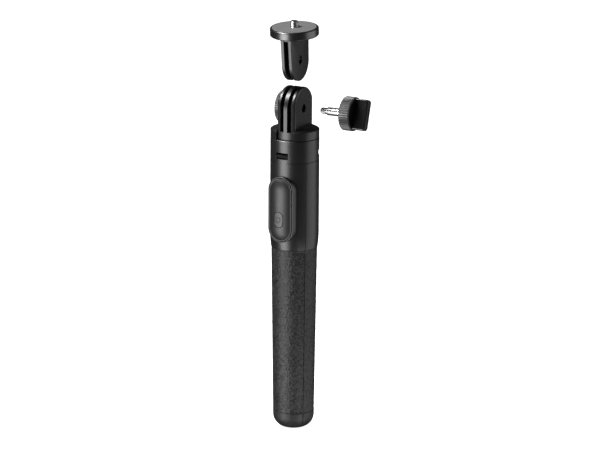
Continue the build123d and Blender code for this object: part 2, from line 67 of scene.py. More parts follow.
cameraSettings = {"azimuth": -63.5, "elevation": 14.3, "distance": 2.853, "lens": 220.0,
                  "targetHeight": 0.16288, "targetSide": 0.00432, "roll": 0.327}
lightSettings = {  # turn is from the camera's azimuth and low and high are heights, in degrees and metres
    "leftStrip": {"turn": -52.0, "width": 1.0, "low": -1.2, "high": 0.36, "distance": 1.5, "watts": 36.0},
    "rightPanel": {"turn": 88.0, "width": 1.5, "low": -1.0, "high": 1.5, "distance": 1.5, "watts": 16.0},
    "overheadLeft": {"turn": -88.0, "width": 0.5, "low": 1.5, "high": 1.5, "distance": 0.85, "watts": 36.0},
    "lowFill": {"turn": 40.0, "width": 0.3, "low": -0.3, "high": -0.06, "distance": 0.32, "watts": 1.1},
}
worldSettings = {"backdrop": 1.0, "surround": 0.05}
floorSettings = {"reach": 6.0, "height": -0.0005, "colour": "#f4f4f4", "roughness": 0.9, "glow": 0.92}


def linearColour(hexText):
    # Each channel of an sRGB hex colour goes to linear light by the sRGB curve.
    channel = np.array([int(hexText[i:i + 2], 16) for i in (1, 3, 5)]) / 255
    linear = np.where(channel <= 0.04045, channel / 12.92, ((channel + 0.055) / 1.055) ** 2.4)
    return (*linear.tolist(), 1.0)


def compassDirection(azimuth, elevation):
    # A unit vector at an azimuth round +Z and an elevation above the horizon, both in degrees.
    a, e = radians(azimuth), radians(elevation)
    return Vector((cos(a) * cos(e), sin(a) * cos(e), sin(e)))


def addCamera():
    # The camera stands back along its direction from a target beside the pole, rolled a little.
    s = cameraSettings
    back = compassDirection(s["azimuth"], s["elevation"])
    side = Vector((-sin(radians(s["azimuth"])), cos(radians(s["azimuth"])), 0))
    target = Vector((0, 0, s["targetHeight"])) + side * s["targetSide"]
    data = bpy.data.cameras.new("camera")
    data.lens = s["lens"]
    data.clip_end = 50
    camera = bpy.data.objects.new("camera", data)
    camera.location = target + back * s["distance"]
    turn = back.to_track_quat("Z", "Y").to_matrix() @ Matrix.Rotation(radians(s["roll"]), 3, "Z")
    camera.rotation_euler = turn.to_euler()
    bpy.context.scene.collection.objects.link(camera)
    bpy.context.scene.camera = camera


def addPanel(name, turn, width, low, high, distance, watts):
    # An upright soft light stands between two heights, at a turn from the camera's azimuth, and faces the
    # pole. Where both heights are the same it is a square panel that looks down at the middle of the
    # stick.
    centre = Vector((0, 0, cameraSettings["targetHeight"]))
    outward = compassDirection(cameraSettings["azimuth"] + turn, 0)
    spot = outward * distance + Vector((0, 0, (low + high) / 2))
    data = bpy.data.lights.new(name, "AREA")
    data.shape = "RECTANGLE"
    data.size, data.size_y = width, (high - low if high > low else width)
    data.energy = watts
    panel = bpy.data.objects.new(name, data)
    panel.location = spot
    facing = outward if high > low else spot - centre
    panel.rotation_euler = facing.to_track_quat("Z", "Y").to_euler()
    panel.visible_camera = False
    bpy.context.scene.collection.objects.link(panel)


def addWorld():
    # The camera sees a white backdrop; every other ray meets a dim surround.
    world = bpy.data.worlds.new("studio")
    bpy.context.scene.world = world
    world.use_nodes = True
    tree = world.node_tree
    tree.nodes.clear()
    path = tree.nodes.new("ShaderNodeLightPath")
    mix = tree.nodes.new("ShaderNodeMixShader")
    output = tree.nodes.new("ShaderNodeOutputWorld")
    for slot, key in ((1, "surround"), (2, "backdrop")):
        background = tree.nodes.new("ShaderNodeBackground")
        background.inputs["Strength"].default_value = worldSettings[key]
        background.inputs["Color"].default_value = (1, 1, 1, 1)
        tree.links.new(background.outputs[0], mix.inputs[slot])
    tree.links.new(path.outputs["Is Camera Ray"], mix.inputs[0])
    tree.links.new(mix.outputs[0], output.inputs[0])


def addFloor():
    # A square floor under the feet that glows nearly white, and throws neither light nor shadow on the
    # part.
    s = floorSettings
    reach, height = s["reach"], s["height"]
    corners = [(x * reach, y * reach, height) for x, y in ((-1, -1), (1, -1), (1, 1), (-1, 1))]
    mesh = bpy.data.meshes.new("floor")
    mesh.from_pydata(corners, [], [(0, 1, 2, 3)])
    floor = bpy.data.objects.new("floor", mesh)
    bpy.context.scene.collection.objects.link(floor)
    paint = bpy.data.materials.new("pale floor")
    paint.use_nodes = True
    shader = paint.node_tree.nodes["Principled BSDF"]
    shader.inputs["Base Color"].default_value = linearColour(s["colour"])
    shader.inputs["Roughness"].default_value = s["roughness"]
    shader.inputs["Specular IOR Level"].default_value = 0.0
    shader.inputs["Emission Color"].default_value = (1, 1, 1, 1)
    shader.inputs["Emission Strength"].default_value = s["glow"]
    mesh.materials.append(paint)
    floor.visible_glossy = False
    floor.visible_diffuse = False
    floor.visible_shadow = False


bpy.context.scene.view_settings.view_transform = "Standard"
addCamera()
addWorld()
addFloor()
for name, settings in lightSettings.items():
    addPanel(name, **settings)
print("stage: camera, lights and floor are ready")


def perMillimetre(size):
    return 1 / (size * mm)  # a pattern's scale in Object coordinates from its real size in millimetres


def addNode(tree, kind, settings=None, inputs=None, links=None):
    # A shader node with its settings, its input values and the outputs that feed its other inputs.
    node = tree.nodes.new("ShaderNode" + kind)
    for key, value in (settings or {}).items():
        setattr(node, key, value)
    for key, value in (inputs or {}).items():
        node.inputs[key].default_value = value
    for key, source in (links or {}).items():
        tree.links.new(source, node.inputs[key])
    return node


def makeMaterial(name, colour, lighter, mottle, roughness, roughSpread, grain, grainDepth, metallic=0.0,
                 ior=None, edge=0.0, specular=None, stretch=(1, 1, 1), noiseWidth=1.0):
    # Colour runs between two shades over a slow noise, roughness varies over a fine one, and the fine
    # noise lifts the surface as a bump. An edge radius softens the sharp edges of a moulding. The noise
    # width is the part of the slow noise's range that carries the two shades, so a small width makes the
    # mottling strong.
    material = bpy.data.materials.new(name)
    material.use_nodes = True
    tree = material.node_tree
    shader = tree.nodes["Principled BSDF"]
    place = addNode(tree, "TexCoord")
    mapped = addNode(tree, "Mapping", inputs={"Scale": stretch}, links={"Vector": place.outputs["Object"]})
    slow = addNode(tree, "TexNoise", inputs={"Scale": perMillimetre(mottle), "Detail": 4.0},
                   links={"Vector": mapped.outputs[0]})
    fine = addNode(tree, "TexNoise", inputs={"Scale": perMillimetre(grain), "Detail": 3.0},
                   links={"Vector": mapped.outputs[0]})
    mottleRange = {"From Min": 0.5 - noiseWidth / 2, "From Max": 0.5 + noiseWidth / 2}
    sharper = addNode(tree, "MapRange", inputs=mottleRange, links={"Value": slow.outputs["Fac"]})
    shades = addNode(tree, "Mix", {"data_type": "RGBA"}, links={"Factor": sharper.outputs[0]})
    shades.inputs[6].default_value = linearColour(colour)
    shades.inputs[7].default_value = linearColour(lighter)
    tree.links.new(shades.outputs[2], shader.inputs["Base Color"])
    roughRange = {"To Min": roughness - roughSpread, "To Max": roughness + roughSpread}
    rough = addNode(tree, "MapRange", inputs=roughRange, links={"Value": fine.outputs["Fac"]})
    tree.links.new(rough.outputs[0], shader.inputs["Roughness"])
    bump = addNode(tree, "Bump", inputs={"Strength": 1.0, "Distance": grainDepth * mm},
                   links={"Height": fine.outputs["Fac"]})
    if edge:
        soft = addNode(tree, "Bevel", {"samples": 4}, {"Radius": edge * mm})
        tree.links.new(soft.outputs[0], bump.inputs["Normal"])
    tree.links.new(bump.outputs[0], shader.inputs["Normal"])
    shader.inputs["Metallic"].default_value = metallic
    if ior:
        shader.inputs["IOR"].default_value = ior
    if specular is not None:
        shader.inputs["Specular IOR Level"].default_value = specular
    return material


finishes = {
    # Moulded ABS with a fine spark texture: a satin black that keeps broad soft highlights.
    "satinAbs": makeMaterial(
        "satin moulded ABS", "#101011", "#151516",
        mottle=6, roughness=0.36, roughSpread=0.05, grain=0.22, grainDepth=0.012, ior=1.53, edge=0.1),
    # Moulded ABS of the remote, with a coarser grain and less shine than the handle's.
    "remoteAbs": makeMaterial(
        "fine moulded ABS", "#121213", "#181819",
        mottle=5, roughness=0.43, roughSpread=0.06, grain=0.5, grainDepth=0.02, ior=1.5, edge=0.1),
    # Knurled plastic, a shade lighter than the moulded ABS.
    "knurledPlastic": makeMaterial(
        "knurled plastic", "#1a1a1b", "#262627",
        mottle=2, roughness=0.42, roughSpread=0.06, grain=0.25, grainDepth=0.015, ior=1.53),
    # The shutter button, the lightest of the black plastics.
    "buttonPlastic": makeMaterial(
        "rubbed moulded ABS", "#29292b", "#323234",
        mottle=3, roughness=0.45, roughSpread=0.05, grain=0.2, grainDepth=0.006, ior=1.53),
    # Glossy black plastic of the thumb wing, polished in the mould.
    "wingPlastic": makeMaterial(
        "polished black plastic", "#0a0a0b", "#0e0e0f",
        mottle=5, roughness=0.24, roughSpread=0.04, grain=0.3, grainDepth=0.004, ior=1.53),
    # Pressed PU leatherette: near black, with a strong grey bloom in small patches.
    "leatherette": makeMaterial(
        "pressed PU leatherette", "#060606", "#2e2e2e",
        mottle=1.7, roughness=0.46, roughSpread=0.14, grain=0.6, grainDepth=0.12, ior=1.5, specular=0.3,
        noiseWidth=0.26),
    # Moulded rubber of the feet: matt black with a soft sheen.
    "footRubber": makeMaterial(
        "moulded rubber", "#111111", "#242424",
        mottle=2.5, roughness=0.52, roughSpread=0.08, grain=0.4, grainDepth=0.04, ior=1.5, specular=0.35,
        noiseWidth=0.4),
    # Black anodised aluminium: turned, so its highlights are sharp and slightly streaked round the rim.
    "blackAnodised": makeMaterial(
        "black anodised aluminium", "#070708", "#0c0c0d",
        mottle=4, roughness=0.3, roughSpread=0.04, grain=0.2, grainDepth=0.003, ior=1.6, specular=0.8,
        stretch=(0.2, 0.2, 3)),
    # Grey silicone pad: quite matt, faintly dusty.
    "padRubber": makeMaterial(
        "silicone rubber pad", "#656565", "#727272",
        mottle=2, roughness=0.6, roughSpread=0.06, grain=0.25, grainDepth=0.02, ior=1.42),
    # Turned stainless steel: bright, with fairly tight reflections.
    "turnedSteel": makeMaterial(
        "turned stainless steel", "#b4b4b6", "#cdcdce",
        mottle=2, roughness=0.27, roughSpread=0.05, grain=0.15, grainDepth=0.002, metallic=1.0,
        stretch=(3, 1, 1)),
    # Drawn stainless tube: fine lines run along its length.
    "drawnTube": makeMaterial(
        "drawn stainless tube", "#a9aaad", "#c3c4c6",
        mottle=1.2, roughness=0.24, roughSpread=0.06, grain=0.2, grainDepth=0.003, metallic=1.0,
        stretch=(1, 1, 0.02)),
    # Die-cast aluminium of the leg frames under matt black paint: slightly orange-peeled.
    "blackPaint": makeMaterial(
        "black painted die-cast aluminium", "#060606", "#0a0a0a",
        mottle=3, roughness=0.7, roughSpread=0.06, grain=0.5, grainDepth=0.01, ior=1.5, specular=0.2,
        edge=0.2),
    # Natural nylon: milky off-white with a waxy surface.
    "nylon": makeMaterial(
        "natural nylon", "#cdc9ba", "#dad7ca",
        mottle=3, roughness=0.45, roughSpread=0.05, grain=0.3, grainDepth=0.006, ior=1.53),
    # Turned brass of the insert nut.
    "brass": makeMaterial(
        "turned brass", "#b08d49", "#c9a560",
        mottle=1.5, roughness=0.28, roughSpread=0.06, grain=0.15, grainDepth=0.003, metallic=1.0),
    # Smoked polycarbonate window of the indicator.
    "smokedLens": makeMaterial(
        "smoked polycarbonate", "#050506", "#08080a",
        mottle=2, roughness=0.35, roughSpread=0.04, grain=0.3, grainDepth=0.001, ior=1.58),
    # Glass-epoxy board under a green solder mask.
    "solderMask": makeMaterial(
        "solder mask on glass epoxy", "#0e4a26", "#155c31",
        mottle=1.0, roughness=0.3, roughSpread=0.05, grain=0.3, grainDepth=0.01, ior=1.55),
}


def paintNode(node, finish):
    # A CAD node keeps its mesh and takes a better material in its own slots.
    piece = cadNodes[node]
    if not piece.material_slots:
        piece.data.materials.append(finishes[finish])
    for slot in piece.material_slots:
        slot.material = finishes[finish]


nodeFinishes = {
    "satinAbs": ["collar", "head_body"] + [f"leg_{n}_housing" for n in legNames],
    "remoteAbs": ["remote_base", "remote_top", "battery_door"],
    "footRubber": ["remote_seal"],
    "blackPaint": [f"leg_{n}_frame" for n in legNames],
    "turnedSteel": ["hinge_pins", "swivel_post", "swivel_pin", "battery", "switch"]
                   + [f"leg_{n}_screws" for n in legNames],
    "drawnTube": ["outer_tube"] + [f"section_{i}" for i in range(2, 8)],
    "nylon": ["tube_plug", "washer"] + [f"bush_{i}" for i in range(2, 8)],
    "brass": ["insert_nut"],
    "smokedLens": ["remote_led"],
    "solderMask": ["circuit_board"],
}
for finish, members in nodeFinishes.items():
    for member in members:
        paintNode(member, finish)
print("materials: every carried-over CAD node is painted")


def softCorners(corners, reach, closed=False, steps=5):
    # Each corner of a line becomes a quadratic curve that starts and ends at most the reach away from it.
    corners = np.asarray(corners, float)
    before, after = np.roll(corners, 1, 0), np.roll(corners, -1, 0)
    reach = np.broadcast_to(np.asarray(reach, float), (len(corners),))

    def towards(other):
        gap = other - corners
        length = np.maximum(np.linalg.norm(gap, axis=1), 1e-12)
        return corners + gap * np.minimum(reach / length, 0.5)[:, None]

    start, end = towards(before), towards(after)
    if not closed:
        start[[0, -1]] = end[[0, -1]] = corners[[0, -1]]
    t = np.linspace(0, 1, steps)[None, :, None]
    curve = (1 - t) ** 2 * start[:, None] + 2 * t * (1 - t) * corners[:, None] + t**2 * end[:, None]
    return curve.reshape(-1, 2)


def meshFromGrid(grids, closeU=True, closeV=True):
    # Grids of points, rows by columns, become quads; a direction that closes is joined back to its start.
    points, faces, count = [], [], 0
    for grid in grids:
        rows, columns = grid.shape[:2]
        index = np.arange(rows * columns).reshape(rows, columns) + count
        if closeU:
            index = np.vstack([index, index[:1]])
        if closeV:
            index = np.hstack([index, index[:, :1]])
        quads = np.stack([index[:-1, :-1], index[1:, :-1], index[1:, 1:], index[:-1, 1:]], axis=-1)
        points.append(grid.reshape(-1, 3))
        faces.append(quads.reshape(-1, 4))
        count += rows * columns
    return np.vstack(points), np.vstack(faces)


def joinMeshes(parts):
    # Several lots of points and faces become one, with each lot's face numbers moved past the points
    # before it.
    counts = np.cumsum([0] + [len(points) for points, faces in parts])
    return (np.vstack([points for points, faces in parts]),
            np.vstack([faces + count for (points, faces), count in zip(parts, counts)]))


def addMesh(name, points, faces, finish, body, replaced, slotName, sharp=35):
    # A new piece has its coinciding points merged, so that seams and poles close; its openings are
    # filled, its faces turned outwards and its edges smoothed up to an angle in degrees. It is then
    # painted and given its body, and the CAD nodes that it replaces are hidden.
    mesh = bpy.data.meshes.new(name)
    mesh.from_pydata(points.tolist(), [], faces.tolist())
    work = bmesh.new()
    work.from_mesh(mesh)
    bmesh.ops.remove_doubles(work, verts=work.verts, dist=mergeDistance)
    bmesh.ops.dissolve_degenerate(work, edges=work.edges, dist=sliverLength)
    bmesh.ops.holes_fill(work, edges=[edge for edge in work.edges if edge.is_boundary], sides=largestHole)
    bmesh.ops.recalc_face_normals(work, faces=work.faces)
    work.to_mesh(mesh)
    work.free()
    mesh.shade_smooth()
    mesh.set_sharp_from_angle(angle=radians(sharp))
    piece = bpy.data.objects.new(name, mesh)
    bpy.context.scene.collection.objects.link(piece)
    piece.data.materials.append(finishes[finish])
    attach(piece, body)
    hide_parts(*replaced)
    print(f"piece: {name}, {len(mesh.polygons)} faces")


def addPiece(name, grids, finish, body, replaced, slotName, closeU=True, closeV=True, sharp=35):
    # A piece made of grids that all close in the same way.
    points, faces = meshFromGrid(grids, closeU, closeV)
    addMesh(name, points, faces, finish, body, replaced, slotName, sharp)


def roundAxis(along, radius, origin, axis, first, second):
    # A profile of places along an axis is carried round it. The radii have a row for each angle, so they
    # may change round the axis.
    turns = radius.shape[0]
    angle = np.linspace(0, 2 * pi, turns, endpoint=False)[:, None]
    spoke = np.cos(angle)[..., None] * first + np.sin(angle)[..., None] * second
    return origin + np.broadcast_to(along, radius.shape)[..., None] * axis + radius[..., None] * spoke


def turned(corners, reach, origin, axis, first, second, turns=96, closed=True, steps=5):
    # A softened profile of (along, radius) pairs in millimetres, the same all round the axis.
    profile = softCorners(corners, reach, closed, steps) * mm
    radius = np.broadcast_to(profile[:, 1], (turns, len(profile)))
    return roundAxis(profile[:, 0], radius, origin, axis, first, second)


pinHeight = (nodeBox("washer")[0][2] + nodeBox("washer")[1][2]) / 2
pinOrigin = np.array([0, 0, pinHeight])

knurlSettings = {"pointsPerRidge": 8, "band": 1.2, "fade": 1.0, "power": 0.7}
nutSettings = {"ridges": 48, "depth": 0.5, "chamfer": 0.7, "bore": 3.3, "pocketFlats": 10.0,
               "pocketDepth": 3.6, "pocketBand": 0.1, "pocketEdge": 0.15, "faceEdge": 0.2, "floorEdge": 0.05}
wheelSettings = {"ridges": 50, "depth": 0.55, "chamfer": 0.8, "core": 11.35, "lowEdge": 0.1, "highEdge": 0.2}


def knurl(radius, ridges, depth, rim):
    # Ridges run along the axis: the radius dips by a power of a raised cosine of the angle, only near the
    # rim.
    k = knurlSettings
    angle = np.linspace(0, 2 * pi, radius.shape[0], endpoint=False)[:, None]
    dip = (0.5 - 0.5 * np.cos(ridges * angle)) ** k["power"]
    near = np.clip((radius - (rim - k["band"]) * mm) / (k["fade"] * mm), 0, 1)
    return radius - depth * mm * dip * near


def addNut():
    # A knurled ring with a hexagonal pocket: the pocket's radius is half its flats over the cosine of the
    # angle to the middle of the nearest flat.
    s = nutSettings
    low, high = nodeBox("nut_knob")
    x0, x1, rim = low[0] / mm, high[0] / mm, (high[2] - low[2]) / 2 / mm
    flat, floor = s["pocketFlats"] / 2, x0 + s["pocketDepth"]
    corners = [(x0, flat), (x0, rim), (x1, rim), (x1, s["bore"]), (floor, s["bore"]), (floor, flat)]
    reach = [s["pocketEdge"], s["chamfer"], s["chamfer"], s["faceEdge"], s["floorEdge"], s["floorEdge"]]
    profile = softCorners(corners, reach, True) * mm
    turns = s["ridges"] * knurlSettings["pointsPerRidge"]
    angle = np.linspace(0, 2 * pi, turns, endpoint=False)[:, None]
    hexagon = 1 / np.cos(np.mod(angle, pi / 3) - pi / 6)
    radius = np.broadcast_to(profile[:, 1], (turns, len(profile)))
    share, band = radius / (flat * mm), s["pocketBand"]
    inPocket = np.clip((share - 1 + band) / band, 0, 1) * (share < 1 + band)
    radius = knurl(radius * (1 + (hexagon - 1) * inPocket), s["ridges"], s["depth"], rim)
    grid = roundAxis(profile[:, 0], radius, pinOrigin, axisX, axisY, axisZ)
    addPiece("knurledNut", [grid], "knurledPlastic", "head", ["nut_knob"], "knurled_plastic")


def addWheel():
    # A knurled ring from the core's radius to the rim, with its outer corners softened by the chamfer.
    s = wheelSettings
    low, high = nodeBox("knob_rim")
    x0, x1, rim = low[0] / mm, high[0] / mm, (high[2] - low[2]) / 2 / mm
    corners = [(x0, s["core"]), (x0, rim), (x1, rim), (x1, s["core"])]
    profile = softCorners(corners, [s["lowEdge"], s["chamfer"], s["chamfer"], s["highEdge"]], True) * mm
    turns = s["ridges"] * knurlSettings["pointsPerRidge"]
    radius = knurl(np.broadcast_to(profile[:, 1], (turns, len(profile))), s["ridges"], s["depth"], rim)
    grid = roundAxis(profile[:, 0], radius, pinOrigin, axisX, axisY, axisZ)
    addPiece("knurledWheel", [grid], "knurledPlastic", "thumb_screw", ["knob_rim"], "knurled_plastic")


addNut()
addWheel()

wingSettings = {"hubRadius": 11.35, "hubRecess": 0.5, "hubEdge": 0.2, "bore": 3.2, "boreEdge": 0.1,
                "length": 24.0, "thickness": 6.2, "corner": 2.4, "edge": 1.1, "tilt": 18.0, "root": 1.0,
                "dish": 0.45, "dishShare": 0.92, "dishPower": 4, "rootFade": 3.0, "tipFade": 2.5,
                "bendSteps": 8, "sideSteps": 9, "straightRows": 10, "roundRows": 12, "capRows": 5,
                "capStart": 0.8}


def wingSection():
    # A rounded rectangle across the wing, with each straight side cut into short steps.
    s = wingSettings
    halfT, halfL = s["thickness"] / 2, s["length"] / 2
    corners = [(-halfT, -halfL), (halfT, -halfL), (halfT, halfL), (-halfT, halfL)]
    bends = softCorners(corners, s["edge"], True, s["bendSteps"]).reshape(len(corners), s["bendSteps"], 2)
    sides = np.linspace(bends[:, -1], np.roll(bends, -1, 0)[:, 0], s["sideSteps"], axis=1)[:, :-1]
    return np.concatenate([bends[:, :-1], sides], axis=1).reshape(-1, 2)


def wingGrid(root, tip):
    # The section is carried outwards along X. Near the tip it shrinks as a quarter circle, by the
    # corner's radius along its length and by the edge's across it, and closes at its middle. Its faces
    # are dished by a parabola that fades out at the root and the tip.
    s = wingSettings
    halfT, halfL = s["thickness"] / 2, s["length"] / 2
    section = wingSection()
    bend = np.sin(np.linspace(0, pi / 2, s["roundRows"]))[1:]
    inBend = np.concatenate([np.zeros(s["straightRows"]), bend, np.ones(s["capRows"])])
    straight = np.linspace(root, tip - s["corner"], s["straightRows"])
    place = np.concatenate([straight, tip - s["corner"] * (1 - bend), np.full(s["capRows"], tip)])
    shrink = 1 - np.sqrt(1 - inBend**2)
    cap = np.concatenate([np.ones(len(place) - s["capRows"]), np.linspace(s["capStart"], 0, s["capRows"])])
    across = section[:, 0] * ((halfT - s["edge"] * shrink) / halfT * cap)[:, None]
    along = section[:, 1] * ((halfL - s["corner"] * shrink) / halfL * cap)[:, None]
    onFace = np.clip(np.abs(section[:, 0]) / halfT, 0, 1) ** s["dishPower"]
    bowl = np.clip(1 - (section[:, 1] / (halfL * s["dishShare"])) ** 2, 0, 1) * onFace
    rise = np.clip((place - root) / s["rootFade"], 0, 1) * np.clip((tip - place) / s["tipFade"], 0, 1)
    across = across - np.sign(across) * s["dish"] * bowl * rise[:, None]
    lean = radians(s["tilt"])
    lengthways = axisY * sin(lean) + axisZ * cos(lean)
    sideways = -axisY * cos(lean) + axisZ * sin(lean)
    outwards = np.broadcast_to(place[:, None], across.shape)
    offset = outwards[..., None] * axisX + across[..., None] * sideways + along[..., None] * lengthways
    return (pinOrigin + mm * offset).transpose(1, 0, 2)


def addWing():
    # A turned hub inside the wheel, and the wing that stands out of it.
    s = wingSettings
    rimLow, rimHigh = nodeBox("knob_rim")
    tip = nodeBox("knob_wing")[1][0] / mm
    x0, x1 = rimLow[0] / mm, rimHigh[0] / mm - s["hubRecess"]
    middle = (rimLow[0] + rimHigh[0]) / 2 / mm
    corners = [(middle, 0), (middle, s["bore"]), (x0, s["bore"]), (x0, s["hubRadius"]),
               (x1, s["hubRadius"]), (x1, 0)]
    reach = [0, s["boreEdge"], s["hubEdge"], s["hubEdge"], s["hubEdge"], 0]
    hub = turned(corners, reach, pinOrigin, axisX, axisY, axisZ, closed=False)
    parts = [meshFromGrid([hub], True, False), meshFromGrid([wingGrid(x1 - s["root"], tip)], True, False)]
    addMesh("thumbWing", *joinMeshes(parts), "wingPlastic", "thumb_screw", ["knob_wing"], "abs_satin")


addWing()
print("stage: knobs")

shaftSettings = {"tipRadius": 2.5, "tipLength": 4.8, "tipRound": 1.5, "tipEdge": 0.1, "tipChamfer": 0.35,
                 "neckRadius": 1.9, "neckLength": 1.0, "neckEdge": 0.05, "fillet": 0.1, "radius": 3.2,
                 "shoulder": 0.4, "shoulderBend": 0.12, "pitch": 0.8, "threadDepth": 0.3,
                 "threadStart": 1.0, "threadEnd": 0.3, "noseRows": 10, "barrelRows": 34}
studSettings = {"radius": 3.175, "pitch": 1.27, "threadDepth": 0.55, "shank": 2.9, "flange": 6.0,
                "flangeLow": 20.6, "flangeHigh": 22.0, "low": 26.35, "high": 31.1,
                "chamfer": 0.6, "lead": 0.1, "step": 0.02, "barrelRows": 40}
threadTurns = 72  # points round a threaded piece
studMount = next(mount for mount in frame["record"]["mounts"] if mount["name"] == "camera_stud")
bushLow, bushHigh = nodeBox("adapter_bushes")
adapterPin = np.array([0, 0, (bushLow[2] + bushHigh[2]) / 2])
adapterUp = np.array(studMount["axis"], float) / np.linalg.norm(studMount["axis"])
adapterSide = np.cross(adapterUp, axisX)


def threaded(along, radius, cut, pitch, depth):
    # Radii all round an axis with a helical groove where the cut is true: a triangle wave of the distance
    # along the axis less one pitch for each turn.
    angle = np.linspace(0, 2 * pi, threadTurns, endpoint=False)[:, None]
    phase = np.mod(along[None] / (pitch * mm) - angle / (2 * pi), 1)
    return radius - depth * mm * (1 - np.abs(2 * phase - 1)) * cut


def addShaft():
    # Rows run along X: a rounded threaded tip, a neck and the plain shaft, each with its own radius.
    s = shaftSettings
    low, high = nodeBox("knob_shaft")
    start, end = low[0] / mm, high[0] / mm
    neck = start + s["tipLength"]
    shaft = neck + s["neckLength"]
    bend = np.linspace(0, pi / 2, s["noseRows"])
    nose = start + s["tipRound"] * (1 - np.cos(bend))
    noseRadius = s["tipRadius"] - s["tipRound"] * (1 - np.sin(bend))
    barrel = np.linspace(start + s["tipRound"], neck - s["threadEnd"], s["barrelRows"])[1:]
    ends = np.array([
        [neck - s["neckEdge"], s["tipRadius"] - s["tipEdge"]], [neck, s["tipRadius"] - s["tipChamfer"]],
        [neck + s["neckEdge"], s["neckRadius"]], [shaft - s["fillet"], s["neckRadius"]],
        [shaft, s["neckRadius"] + s["fillet"]], [shaft, s["radius"] - s["shoulder"]],
        [shaft + s["shoulderBend"], s["radius"] - s["shoulderBend"]],
        [shaft + s["shoulder"], s["radius"]], [end, s["radius"]], [end, 0]])
    along = np.concatenate([[start], nose, barrel, ends[:, 0]]) * mm
    radius = np.concatenate([[0], noseRadius, np.full(len(barrel), s["tipRadius"]), ends[:, 1]]) * mm
    cut = (along > (start + s["threadStart"]) * mm) & (along < (neck - s["threadEnd"]) * mm)
    radii = threaded(along, radius, cut, s["pitch"], s["threadDepth"])
    grid = roundAxis(along, radii, pinOrigin, axisX, axisY, axisZ)
    addPiece("screwShaft", [grid], "turnedSteel", "thumb_screw", ["knob_shaft"], "steel", closeV=False)


def addStud():
    # The camera screw: a flange and shank inside the disc, and a thread that stands out of the pad. Its
    # heights are over the pin line.
    s = studSettings
    below = np.array([
        [s["flangeLow"], 0], [s["flangeLow"], s["flange"]], [s["flangeHigh"], s["flange"]],
        [s["flangeHigh"], s["shank"]], [s["low"], s["shank"]], [s["low"], s["radius"] - s["threadDepth"]]])
    barrel = np.linspace(s["low"] + s["step"], s["high"] - s["chamfer"], s["barrelRows"])
    above = np.array([[s["high"], s["radius"] - s["chamfer"] - s["lead"]], [s["high"], 0]])
    along = np.concatenate([below[:, 0], barrel, above[:, 0]]) * mm
    radius = np.concatenate([below[:, 1], np.full(len(barrel), s["radius"]), above[:, 1]]) * mm
    row = np.arange(len(along))
    cut = (row >= len(below)) & (row < len(below) + len(barrel))
    radii = threaded(along, radius, cut, s["pitch"], s["threadDepth"])
    grid = roundAxis(along, radii, adapterPin, adapterUp, axisX, adapterSide)
    addPiece("cameraStud", [grid], "turnedSteel", "adapter", ["adapter_stud"], "steel", closeV=False)


addShaft()
addStud()

discSettings = {"radius": 18.9, "low": 19.6, "high": 26.1, "chamfer": 0.8, "padRadius": 17.3, "padDepth": 0.8,
                "shank": 2.9, "flange": 6.0, "flangeLow": 20.6, "flangeHigh": 22.0,
                "grooves": 6, "grooveDepth": 0.06, "rimRows": 61, "lip": 0.15}
padSettings = {"radius": 17.2, "inner": 2.95, "low": 25.3, "high": 26.35, "ribPitch": 1.1, "ribHeight": 0.06,
               "ribRows": 120, "edge": 0.2, "shoulder": 0.25}
discTurns = 128  # points round the disc and the pad


def addDisc():
    # A turned disc with fine grooves round its rim: the rim's radius dips by a raised cosine of the
    # height, and near each end by the square of the way into the chamfer.
    s = discSettings
    low, high, chamfer = s["low"], s["high"], s["chamfer"]
    rim = np.linspace(low, high, s["rimRows"])
    dip = s["grooveDepth"] * (0.5 - 0.5 * np.cos(2 * pi * s["grooves"] * (rim - low) / (high - low)))
    lowEdge = np.clip((low + chamfer - rim) / chamfer, 0, 1) ** 2
    highEdge = np.clip((rim - high + chamfer) / chamfer, 0, 1) ** 2
    outside = np.stack([rim, s["radius"] - chamfer * (lowEdge + highEdge) - dip], 1)
    floor = high - s["padDepth"]
    rest = np.array([
        [high, s["padRadius"] + s["lip"]], [high - s["lip"], s["padRadius"]], [floor, s["padRadius"]],
        [floor, s["shank"]], [s["flangeHigh"], s["shank"]], [s["flangeHigh"], s["flange"]],
        [s["flangeLow"], s["flange"]], [s["flangeLow"], 0]])
    profile = np.vstack([[[low, 0]], outside, rest]) * mm
    radius = np.broadcast_to(profile[:, 1], (discTurns, len(profile)))
    grid = roundAxis(profile[:, 0], radius, adapterPin, adapterUp, axisX, adapterSide)
    addPiece("adapterDisc", [grid], "blackAnodised", "adapter", ["adapter_disc"], "black_anodised",
             closeV=False, sharp=50)


def addPad():
    # The pad's top has fine rings: its height follows a cosine of the radius.
    s = padSettings
    across = np.linspace(s["radius"] - s["edge"], s["inner"] + s["edge"], s["ribRows"])
    height = s["high"] - s["ribHeight"] * (0.5 - 0.5 * np.cos(2 * pi * across / s["ribPitch"]))
    outside = [[s["low"], s["inner"]], [s["low"], s["radius"]], [s["high"] - s["shoulder"], s["radius"]]]
    profile = np.vstack([outside, np.stack([height, across], 1), [[s["high"] - s["edge"], s["inner"]]]]) * mm
    radius = np.broadcast_to(profile[:, 1], (discTurns, len(profile)))
    grid = roundAxis(profile[:, 0], radius, adapterPin, adapterUp, axisX, adapterSide)
    addPiece("adapterPad", [grid], "padRubber", "adapter", ["adapter_pad"], "pad_rubber")


def onAdapter(across, deep, up):
    # Local places in millimetres: across along X, deep towards the back and up from the pin line.
    offset = across[..., None] * axisX + deep[..., None] * adapterSide + up[..., None] * adapterUp
    return adapterPin + mm * offset


